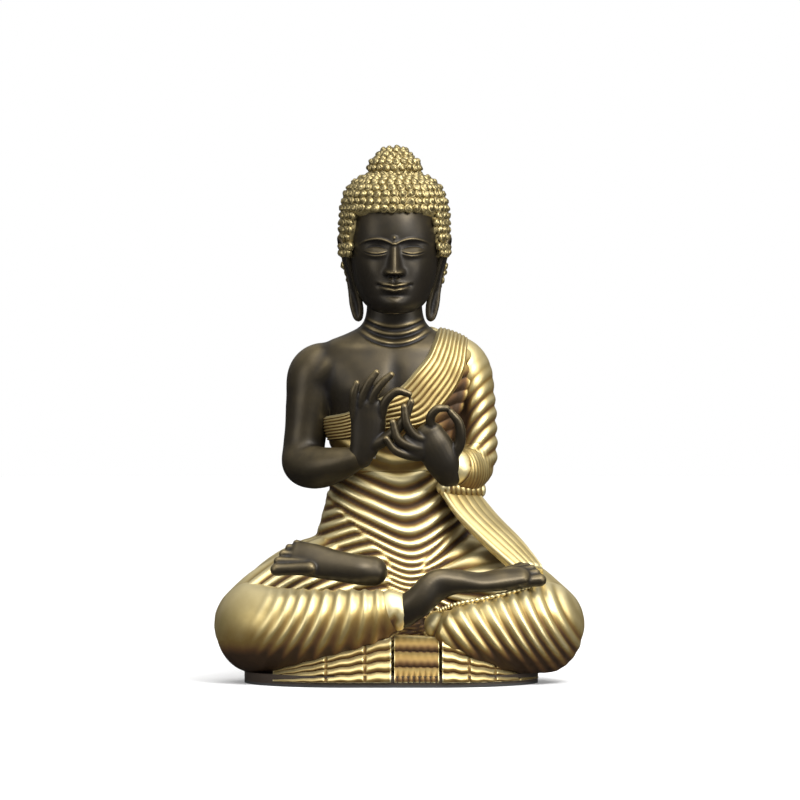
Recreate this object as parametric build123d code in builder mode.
"""Seated Buddha statue in cast resin: hollow body castings, separate limbs, head and hair, and a closed base.

Units are millimetres. The origin is at the middle of the underside, +Z is up, and the figure looks along -Y.
Left and right are the figure's own.
"""

from build123d import *
import os

# Driving dimensions
FELT = 1.5
RIM_TOP = 7.0
BASE_WIDTH, BASE_DEPTH, BASE_CORNER = 180.0, 146.0, 62.0
BASE_X, BASE_Y = -6.0, 0.0
RIM_WALL = 7.0
BOARD = 4.0
PLUG_RADIUS, PLUG_HEAD_RADIUS, PLUG_HEAD, PLUG_GRIP = 12.0, 15.0, 1.0, 3.0
PLUG_Y = 10.0
WALL = 5.0
MIDLINE = -4.0
TORSO_BOTTOM = 108.0
NECK_SEAT = 214.0
HEAD_Y = 26.0
SKULL_RADII = (27.5, 32.0, 39.5)
SKULL_Z = 267.0
HAIR, HAIR_TOP = 7.6, 6.6
HAIRLINE, TEMPLE, NAPE = 289.0, 261.0, 236.0
TOPKNOT_TOP = 330.0
DOWEL_RADIUS = 3.0
PIN_RADIUS = 1.6
ROBE = 2.5
SASH = 2.0
SASH_WIDTH = 30.0
DRAPE = 3.5
FAR = 400.0

# Each ring of a body is (height, half width, half depth, centre x, centre y).
LAP_RINGS = [
    (RIM_TOP, 85, 66, -6, 3),
    (26, 93, 69, -2, 6),
    (50, 92, 62, -1, 12),
    (72, 78, 52, -2, 18),
    (90, 60, 42, -3, 23),
    (TORSO_BOTTOM, 45, 34, MIDLINE, 28),
]
TORSO_RINGS = [
    (TORSO_BOTTOM, 45, 34, MIDLINE, 28),
    (124, 38, 28.5, MIDLINE, 29),
    (144, 35, 26, MIDLINE, 30),
    (168, 43, 28, MIDLINE, 30),
    (190, 52, 28, MIDLINE, 31),
    (203, 51, 25, MIDLINE, 32),
    (210, 42, 21, MIDLINE, 32),
    (NECK_SEAT, 27, 18, MIDLINE, 32),
]
TORSO_CAVITY_TOP = (201, 40, 19, MIDLINE, 32)
NECK_RINGS = [
    (NECK_SEAT, 24, 18, MIDLINE, HEAD_Y + 6),
    (222, 18.5, 17.5, MIDLINE, HEAD_Y + 5),
    (244, 17.0, 17.0, MIDLINE, HEAD_Y + 3),
]
# Each ring of an ear is (height, half thickness, half depth, distance from the midline, y).
EAR_RINGS = [
    (221, 2.4, 4.2, 24.0, HEAD_Y + 3),
    (232, 2.8, 5.2, 26.5, HEAD_Y + 3),
    (246, 3.0, 6.8, 29.5, HEAD_Y + 3),
    (260, 3.0, 8.6, 32.0, HEAD_Y + 4),
    (272, 2.2, 6.0, 33.6, HEAD_Y + 4),
]

# Limb axes: points along the middle of a limb, and the limb's radii at five places from shoulder to wrist.
RIGHT_SHOULDER, RIGHT_ELBOW, RIGHT_WRIST = (-52, 30, 189), (-60, 22, 134), (-21, -9, 138)
LEFT_SHOULDER, LEFT_ELBOW, LEFT_WRIST = (40, 30, 189), (43.5, 20, 133), (27, -6, 133)
ARM_RADII = (17.5, 12.5, 13.0, 11.5, 7.0)
SLEEVE_RADII = (17.5, 13.5, 14.0, 13.0, 11.0)
CUFF_ENDS, CUFF_RADII = [(31, -3, 119), (47, 12, 115)], (5.0, 5.5)
RIGHT_KNEE, RIGHT_ANKLE = (-88, -24, 33.5), (-4, -60, 44)
LEFT_KNEE, LEFT_ANKLE = (88, -24, 33.5), (10, -54, 34)
HIP_OFFSET, HIP_Y, HIP_Z, HIP_RADIUS = 36, 30, 46, 36
KNEE_RADIUS, KNEE_BALL = 25.5, 27.0
RIGHT_ANKLE_RADIUS, LEFT_ANKLE_RADIUS = 14.6, 10.0

# Feet: ankle, heel, and the ball of the foot, then a sole's sections and the toes' radii, big toe first.
RIGHT_FOOT = ((10, -63, 47), (24, -52, 61), (71, -43, 65))
LEFT_FOOT = ((-7.5, -46, 65), (-12, -49, 69.5), (-61, -42.5, 74.3))
ANKLE_RADIUS, HEEL_RADIUS = 9.0, 8.5
SOLE_SECTIONS = ((0, 9.5, 7.5), (0.5, 9.5, 6.5), (0.85, 11.5, 6.0), (1.05, 10.5, 5.0))
SOLE_SLOPE = 0.25
TOE_RADII = (4.4, 3.4, 3.2, 3.0, 2.8)
TOE_SPACING, BIG_TOE_REACH, TOE_STEP = 4.2, 14.0, 1.6

# Hands: palms as (share of its length, half width, half thickness), and each finger's points, root to tip.
RIGHT_KNUCKLES, LEFT_KNUCKLES = (-21, -13, 165), (18, -13, 157)
PALM_SECTIONS = ((0, 6.2, 5.6), (0.35, 9.3, 5.2), (0.8, 9.3, 4.6), (1, 7.3, 3.6))
FINGER_RADII = (2.6, 2.4, 2.2, 1.8)
RIGHT_FINGERS = {
    "little": [(-28, -13, 160), (-29, -15, 170), (-28.5, -17, 178), (-28, -17, 184)],
    "ring": [(-24, -13, 163), (-23, -16, 174), (-20.5, -18, 183), (-18, -17, 189.5)],
    "middle": [(-19, -13, 164), (-17, -16, 175), (-13, -18, 184), (-9.5, -17, 189.5)],
    "index": [(-14, -13, 163), (-10.5, -17, 173), (-5, -19, 177.5), (0, -19, 177)],
    "thumb": [(-15, -13, 147), (-9, -17, 157), (-3, -20, 166), (0.5, -20, 172)],
}
LEFT_FINGERS = {
    "little": [(15, -13, 145), (6, -17, 145.5), (-1.5, -19, 148.5), (-6, -19, 152)],
    "ring": [(15, -13, 150), (6, -17.5, 151.6), (-0.5, -19.5, 155.5), (-4, -19.5, 160)],
    "middle": [(16, -13, 154), (9, -16.5, 158.4), (5, -18.5, 163), (3, -19.8, 167.5)],
    "index": [(19, -12, 156), (15, -16, 163), (18, -18, 169), (21.2, -17.6, 169.4)],
    "thumb": [(29, -11, 145), (30, -14, 154), (28, -17, 162), (25, -16.2, 168)],
}

# The hem in front: its depth from back to front, the middle fold's sides and top, and the side panels' reach.
HEM_FRONT, HEM_BACK, APRON_RIGHT, APRON_LEFT = -72.0, -50.0, -4.0, 24.0
APRON_TOP, APRON_SLOPE, HEM_REACH, HEM_TIP = 32.0, 3.0, 84.0, 3.0


def ring_body(rings, grow=0.0):
    """A smooth body through level ellipses, each grown by the same amount."""
    with BuildPart(mode=Mode.PRIVATE) as body:
        for height, half_width, half_depth, x, y in rings:
            with BuildSketch(Plane((x, y, height))):
                Ellipse(half_width + grow, half_depth + grow)
        loft()
    return body.part


def bone(start, end, start_radius, end_radius):
    """A tapered limb segment between two points, cut square at both ends."""
    start, end = Vector(*start), Vector(*end)
    along = end - start
    with BuildPart(mode=Mode.PRIVATE) as segment:
        with BuildSketch(Plane(start, z_dir=along)):
            Circle(start_radius)
        with BuildSketch(Plane(end, z_dir=along)):
            Circle(end_radius)
        loft()
    return segment.part


def ball(centre, radius, along):
    """A knuckle: a sphere a little larger than the segments that meet in it, with its poles along the limb."""
    with BuildPart(mode=Mode.PRIVATE) as knuckle:
        with Locations(Plane(centre, z_dir=along)):
            Sphere(radius)
    return knuckle.part


def chain(points, radii, swell=1.03, ends=True):
    """Tapered segments with a knuckle at each joint, and at both ends unless ends is False."""
    with BuildPart(mode=Mode.PRIVATE) as limb:
        for first, last, first_radius, last_radius in zip(points, points[1:], radii, radii[1:]):
            add(bone(first, last, first_radius, last_radius))
        for index, (point, radius) in enumerate(zip(points, radii)):
            before, after = max(index - 1, 0), min(index + 1, len(points) - 1)
            along = Vector(*points[after]) - Vector(*points[before])
            if ends or before < index < after:
                add(ball(point, radius * swell, along))
    return limb.part


def between(start, end, share):
    """The point that share of the way from start to end."""
    return tuple(a + (b - a) * share for a, b in zip(start, end))


def arm_form(shoulder, elbow, wrist, radii):
    """An arm from the shoulder round the elbow to the wrist, with a rounded shoulder and elbow."""
    points = [shoulder, between(shoulder, elbow, 0.6), elbow, between(elbow, wrist, 0.35), wrist]
    with BuildPart(mode=Mode.PRIVATE) as arm:
        add(chain(points, radii, ends=False))
        add(ball(shoulder, radii[0] * 1.03, Vector(*shoulder) - Vector(*elbow)))
    return arm.part


def leg_form(hip, knee, ankle, ankle_radius):
    """A folded leg: a thigh from the hip to the knee, and a shin roll from the knee to the ankle."""
    shin_middle = between(knee, ankle, 0.5)
    shin_radius = (KNEE_RADIUS + ankle_radius) / 2 + 1.0
    with BuildPart(mode=Mode.PRIVATE) as leg:
        add(bone(hip, knee, HIP_RADIUS, KNEE_RADIUS))
        add(bone(knee, shin_middle, KNEE_RADIUS, shin_radius))
        add(bone(shin_middle, ankle, shin_radius, ankle_radius))
        add(ball(knee, KNEE_BALL, Vector(*knee) - Vector(*hip)))
    return leg.part


def ellipsoid(centre, radii):
    """A sphere stretched to three radii about its centre."""
    round_form = scale(Sphere(1, mode=Mode.PRIVATE), by=radii, mode=Mode.PRIVATE)
    return Pos(*centre) * round_form


def foot_form(ankle, heel, ball_of_foot, toes_towards):
    """A foot lying on its side: ankle, heel, a flat sole, and five toes stepping down in size."""
    along = Vector(*ball_of_foot) - Vector(*heel)
    with BuildPart(mode=Mode.PRIVATE) as foot:
        add(chain([ankle, heel], [ANKLE_RADIUS, HEEL_RADIUS]))
        for share, width, thick in SOLE_SECTIONS:
            place = Plane(between(heel, ball_of_foot, share), x_dir=(0, 1, SOLE_SLOPE), z_dir=along)
            with BuildSketch(place):
                Ellipse(width, thick)
        loft()
        for index, radius in enumerate(TOE_RADII):
            across = (index - 2) * TOE_SPACING
            root = (ball_of_foot[0], ball_of_foot[1] + across, ball_of_foot[2] + SOLE_SLOPE * across)
            reach = toes_towards * (BIG_TOE_REACH - TOE_STEP * index)
            tip = (root[0] + reach, root[1] + 1.0, root[2] - 1.5)
            add(bone(root, tip, radius, radius * 0.92))
            add(ball(tip, radius * 0.95, Vector(*tip) - Vector(*root)))
    return foot.part


def hand_form(wrist, knuckles, fingers):
    """A palm from the wrist to the knuckles, flat in depth, with four fingers and a thumb."""
    along = Vector(*knuckles) - Vector(*wrist)
    with BuildPart(mode=Mode.PRIVATE) as hand:
        for share, width, thick in PALM_SECTIONS:
            place = Plane(between(wrist, knuckles, share), x_dir=(1, 0, 0), z_dir=along)
            with BuildSketch(place):
                Ellipse(width, thick)
        loft()
        for points in fingers.values():
            add(chain(points, FINGER_RADII, swell=1.06))
    return hand.part


def cut_back(*neighbours):
    """Cut the piece being built back from the outer form of each neighbour in turn."""
    for neighbour in neighbours:
        add(neighbour, mode=Mode.SUBTRACT)


def largest(piece):
    """The main solid of a piece, without the crumbs that a cut can leave."""
    return piece.solids().sort_by(SortBy.VOLUME)[-1]


def export(piece, name):
    """Write a finished piece under its node's name."""
    piece.label = name
    export_step(piece, f"parts/{name}.step")


os.makedirs("parts", exist_ok=True)

# --- Forms that neighbours are cut back from ---------------------------------------------------------------
lap_outer = ring_body(LAP_RINGS)
torso_outer = ring_body(TORSO_RINGS)
robe_outer = ring_body(TORSO_RINGS, ROBE)
sash_outer = ring_body(TORSO_RINGS, ROBE + SASH)

# --- Base: felt, closing board with its filling plug, and the dark rim -------------------------------------
with BuildSketch(Plane((BASE_X, BASE_Y, 0))) as base_outline:
    RectangleRounded(BASE_WIDTH, BASE_DEPTH, BASE_CORNER)
with BuildSketch(Plane((BASE_X, BASE_Y, 0))) as board_outline:
    RectangleRounded(BASE_WIDTH - 2 * RIM_WALL, BASE_DEPTH - 2 * RIM_WALL, BASE_CORNER - RIM_WALL)

with BuildPart() as felt_sheet:
    add(base_outline.sketch)
    extrude(amount=FELT)
export(felt_sheet.part, "felt_sheet")

with BuildPart() as base_rim:
    with BuildSketch(Plane.XY.offset(FELT)):
        add(base_outline.sketch)
        add(board_outline.sketch, mode=Mode.SUBTRACT)
    extrude(amount=RIM_TOP - FELT)
export(base_rim.part, "base_rim")

with BuildPart() as base_board:
    with BuildSketch(Plane.XY.offset(FELT + PLUG_HEAD)):
        add(board_outline.sketch)
        with Locations((BASE_X, BASE_Y + PLUG_Y)):
            Circle(PLUG_RADIUS, mode=Mode.SUBTRACT)
    extrude(amount=BOARD)
export(base_board.part, "base_board")

FROM_BELOW = (Align.CENTER, Align.CENTER, Align.MIN)
with BuildPart() as filling_plug:
    with Locations((BASE_X, BASE_Y + PLUG_Y, FELT)):
        Cylinder(PLUG_HEAD_RADIUS, PLUG_HEAD, align=FROM_BELOW)
        Cylinder(PLUG_RADIUS, PLUG_HEAD + BOARD + PLUG_GRIP, align=FROM_BELOW)
    chamfer(filling_plug.edges().group_by(Axis.Z)[-1], PLUG_HEAD)
export(filling_plug.part, "filling_plug")

# --- Dowels and pins that hold the castings together -------------------------------------------------------
DOWEL_HEIGHT, DOWEL_Y, DOWEL_INNER, DOWEL_OUTER = 190, 30.5, 30, 6
neck_dowel = bone((MIDLINE, HEAD_Y + 5, 196), (MIDLINE, HEAD_Y + 3, 246), DOWEL_RADIUS, DOWEL_RADIUS)
right_shoulder_dowel = bone(
    (MIDLINE - DOWEL_INNER, DOWEL_Y, DOWEL_HEIGHT),
    (RIGHT_SHOULDER[0] - DOWEL_OUTER, DOWEL_Y, DOWEL_HEIGHT),
    DOWEL_RADIUS,
    DOWEL_RADIUS,
)
left_shoulder_dowel = bone(
    (MIDLINE + DOWEL_INNER, DOWEL_Y, DOWEL_HEIGHT),
    (LEFT_SHOULDER[0] + DOWEL_OUTER, DOWEL_Y, DOWEL_HEIGHT),
    DOWEL_RADIUS,
    DOWEL_RADIUS,
)
right_pin_ends = [between(RIGHT_ELBOW, RIGHT_WRIST, share) for share in (0.75, 1.12)]
left_pin_ends = [between(LEFT_ELBOW, LEFT_WRIST, share) for share in (0.62, 1.25)]
right_wrist_pin = bone(*right_pin_ends, PIN_RADIUS, PIN_RADIUS)
left_wrist_pin = bone(*left_pin_ends, PIN_RADIUS, PIN_RADIUS)
export(neck_dowel, "neck_dowel")
export(right_shoulder_dowel, "right_shoulder_dowel")
export(left_shoulder_dowel, "left_shoulder_dowel")
export(right_wrist_pin, "right_wrist_pin")
export(left_wrist_pin, "left_wrist_pin")

# --- Lap casting: the hollow lower body that the base board closes -----------------------------------------
with BuildPart() as lap_casting:
    add(lap_outer)
    cut_back(ring_body(LAP_RINGS, -WALL))
export(lap_casting.part, "lap_casting")

# --- Torso casting, hollow, open downwards into the lap ----------------------------------------------------
with BuildPart() as torso_casting:
    add(torso_outer)
    cut_back(ring_body(TORSO_RINGS[:-3] + [TORSO_CAVITY_TOP], -WALL))
    cut_back(neck_dowel, right_shoulder_dowel, left_shoulder_dowel)
export(torso_casting.part, "torso_casting")

# --- Robe over the torso, below a line that slants from the left of the neck to the right side -------------
robe_edge = Plane((MIDLINE + 14, 0, 210), x_dir=(0, 1, 0), z_dir=(-0.62, 0, 0.785))
bare_side = extrude(robe_edge * Rectangle(FAR, FAR, mode=Mode.PRIVATE), FAR, mode=Mode.PRIVATE)
with BuildPart() as robe_wrap:
    add(robe_outer)
    cut_back(torso_outer, bare_side, left_shoulder_dowel)
export(robe_wrap.part, "robe_wrap")

# --- Pleated sash in front of the robe, along its slanting edge and over the left shoulder -----------------
sash_edge = robe_edge.offset(-SASH_WIDTH)
below_sash = extrude(sash_edge * Rectangle(FAR, FAR, mode=Mode.PRIVATE), -FAR, mode=Mode.PRIVATE)
SASH_BACK_Y, SASH_END_X = 34.0, -5.0
with BuildPart() as shoulder_sash:
    add(sash_outer)
    cut_back(robe_outer, torso_outer, bare_side, below_sash)
    with Locations((SASH_END_X + FAR / 2, SASH_BACK_Y - FAR / 2, TORSO_BOTTOM)):
        Box(FAR, FAR, FAR, mode=Mode.INTERSECT)
export(shoulder_sash.part, "shoulder_sash")

# --- Folded legs under the robe ----------------------------------------------------------------------------
plinth = extrude(base_outline.sketch, RIM_TOP, mode=Mode.PRIVATE)
right_leg_form = leg_form((-HIP_OFFSET, HIP_Y, HIP_Z), RIGHT_KNEE, RIGHT_ANKLE, RIGHT_ANKLE_RADIUS)
left_leg_form = leg_form((HIP_OFFSET, HIP_Y, HIP_Z), LEFT_KNEE, LEFT_ANKLE, LEFT_ANKLE_RADIUS)

with BuildPart() as right_leg:
    add(right_leg_form)
    cut_back(lap_outer, plinth)
export(largest(right_leg.part), "right_leg")

with BuildPart() as left_leg:
    add(left_leg_form)
    cut_back(lap_outer, plinth, right_leg_form)
export(largest(left_leg.part), "left_leg")

# --- Feet, soles up on the opposite thighs -----------------------------------------------------------------
right_foot_form = foot_form(*RIGHT_FOOT, toes_towards=1)
left_foot_form = foot_form(*LEFT_FOOT, toes_towards=-1)

with BuildPart() as right_foot:
    add(right_foot_form)
    cut_back(lap_outer, right_leg_form, left_leg_form)
export(largest(right_foot.part), "right_foot")

with BuildPart() as left_foot:
    add(left_foot_form)
    cut_back(lap_outer, right_leg_form, left_leg_form, right_foot_form)
export(largest(left_foot.part), "left_foot")

# --- Pleated hem of the robe, spread on the base in front: a middle fold and two side panels ---------------
hem_plane = Plane((0, HEM_BACK, 0), x_dir=(1, 0, 0), z_dir=(0, -1, 0))
with BuildPart() as front_apron:
    with BuildSketch(hem_plane):
        with BuildLine():
            Polyline(
                (APRON_RIGHT, RIM_TOP),
                (APRON_LEFT, RIM_TOP),
                (APRON_LEFT, APRON_TOP - APRON_SLOPE),
                (APRON_RIGHT + APRON_SLOPE, APRON_TOP),
                (APRON_RIGHT, APRON_TOP),
                (APRON_RIGHT, RIM_TOP),
            )
        make_face()
    extrude(amount=HEM_BACK - HEM_FRONT)
    cut_back(lap_outer, right_leg_form, left_leg_form, right_foot_form)
export(largest(front_apron.part), "front_apron")

base_column = extrude(base_outline.sketch, APRON_TOP, mode=Mode.PRIVATE)
for side_name, inner, side in (("right_hem", APRON_RIGHT, -1), ("left_hem", APRON_LEFT, 1)):
    with BuildPart() as hem:
        with BuildSketch(hem_plane):
            with BuildLine():
                Polyline(
                    (inner, RIM_TOP),
                    (side * HEM_REACH, RIM_TOP),
                    (side * HEM_REACH, RIM_TOP + HEM_TIP),
                    (inner, APRON_TOP - 1),
                    (inner, RIM_TOP),
                )
            make_face()
        extrude(amount=HEM_BACK - HEM_FRONT)
        add(base_column, mode=Mode.INTERSECT)
        cut_back(lap_outer, right_leg_form, left_leg_form)
    export(largest(hem.part), side_name)

# --- Arms: bare on the right, sleeved on the left ----------------------------------------------------------
right_arm_form = arm_form(RIGHT_SHOULDER, RIGHT_ELBOW, RIGHT_WRIST, ARM_RADII)
left_sleeve_form = arm_form(LEFT_SHOULDER, LEFT_ELBOW, LEFT_WRIST, SLEEVE_RADII)

with BuildPart() as right_arm:
    add(right_arm_form)
    cut_back(torso_outer, robe_wrap.part, right_shoulder_dowel, right_wrist_pin)
export(largest(right_arm.part), "right_arm")

with BuildPart() as left_sleeve:
    add(left_sleeve_form)
    cut_back(sash_outer, left_shoulder_dowel, left_wrist_pin)
export(largest(left_sleeve.part), "left_sleeve")

with BuildPart() as left_cuff:
    add(chain(CUFF_ENDS, CUFF_RADII))
    cut_back(left_sleeve_form, sash_outer, lap_outer)
export(largest(left_cuff.part), "left_cuff")

# --- Shawl end that falls from the left forearm over the thigh ---------------------------------------------
with BuildPart() as shawl_end:
    add(ring_body(LAP_RINGS, DRAPE))
    with BuildSketch(Plane((0, HIP_Y, 0), x_dir=(1, 0, 0), z_dir=(0, -1, 0))):
        with BuildLine():
            Polyline((26, 107), (46, 107), (88, 70), (70, 66), (26, 107))
        make_face()
    extrude(amount=FAR, mode=Mode.INTERSECT)
    cut_back(lap_outer, left_leg_form, right_foot_form, robe_outer, left_cuff.part)
export(largest(shawl_end.part), "shawl_end")

# --- Hands in the teaching gesture -------------------------------------------------------------------------
right_hand_form = hand_form(RIGHT_WRIST, RIGHT_KNUCKLES, RIGHT_FINGERS)
left_hand_form = hand_form(LEFT_WRIST, LEFT_KNUCKLES, LEFT_FINGERS)

with BuildPart() as right_hand:
    add(right_hand_form)
    cut_back(right_arm_form, sash_outer, right_wrist_pin)
export(largest(right_hand.part), "right_hand")

with BuildPart() as left_hand:
    add(left_hand_form)
    cut_back(left_sleeve_form, left_wrist_pin, right_hand_form, sash_outer)
export(largest(left_hand.part), "left_hand")

# --- Head with its neck, hair cap, topknot and long ears ---------------------------------------------------
skull_centre = (MIDLINE, HEAD_Y, SKULL_Z)
skull = ellipsoid(skull_centre, SKULL_RADII)
hair_radii = (SKULL_RADII[0] + HAIR, SKULL_RADII[1] + HAIR, SKULL_RADII[2] + HAIR_TOP)
hair_outer = ellipsoid(skull_centre, hair_radii)
neck = ring_body(NECK_RINGS)

with BuildPart() as head_casting:
    add([skull, neck])
    cut_back(neck_dowel)
export(head_casting.part, "head_casting")

BROW_DEPTH, TEMPLE_DEPTH = 8.0, 15.0
FROM_ABOVE_BEHIND = (Align.CENTER, Align.MAX, Align.MAX)
with BuildPart() as hair_cap:
    add(hair_outer)
    cut_back(skull, neck)
    with Locations((MIDLINE, HEAD_Y - BROW_DEPTH, HAIRLINE)):
        Box(2 * SKULL_RADII[0] - 2, FAR, FAR, align=FROM_ABOVE_BEHIND, mode=Mode.SUBTRACT)
    with Locations((MIDLINE, HEAD_Y + TEMPLE_DEPTH, TEMPLE)):
        Box(FAR, FAR, FAR, align=FROM_ABOVE_BEHIND, mode=Mode.SUBTRACT)
    with Locations((MIDLINE, HEAD_Y, NAPE)):
        Box(FAR, FAR, FAR, align=(Align.CENTER, Align.CENTER, Align.MAX), mode=Mode.SUBTRACT)
export(largest(hair_cap.part), "hair_cap")

TIER_RADII, TIER_Z = (16.2, 16.2, 10.0), 313.0
CROWN_RADII = (11.0, 11.0, 9.0)
with BuildPart() as topknot:
    add(ellipsoid((MIDLINE, HEAD_Y + 3, TIER_Z), TIER_RADII))
    add(ellipsoid((MIDLINE, HEAD_Y + 3, TOPKNOT_TOP - CROWN_RADII[2]), CROWN_RADII))
    cut_back(hair_outer)
export(largest(topknot.part), "topknot")

for ear_name, side in (("right_ear", -1), ("left_ear", 1)):
    rings = [(z, rx, ry, MIDLINE + side * out, y) for z, rx, ry, out, y in EAR_RINGS]
    with BuildPart() as ear:
        add(ring_body(rings))
        cut_back(skull, hair_cap.part)
    export(largest(ear.part), ear_name)
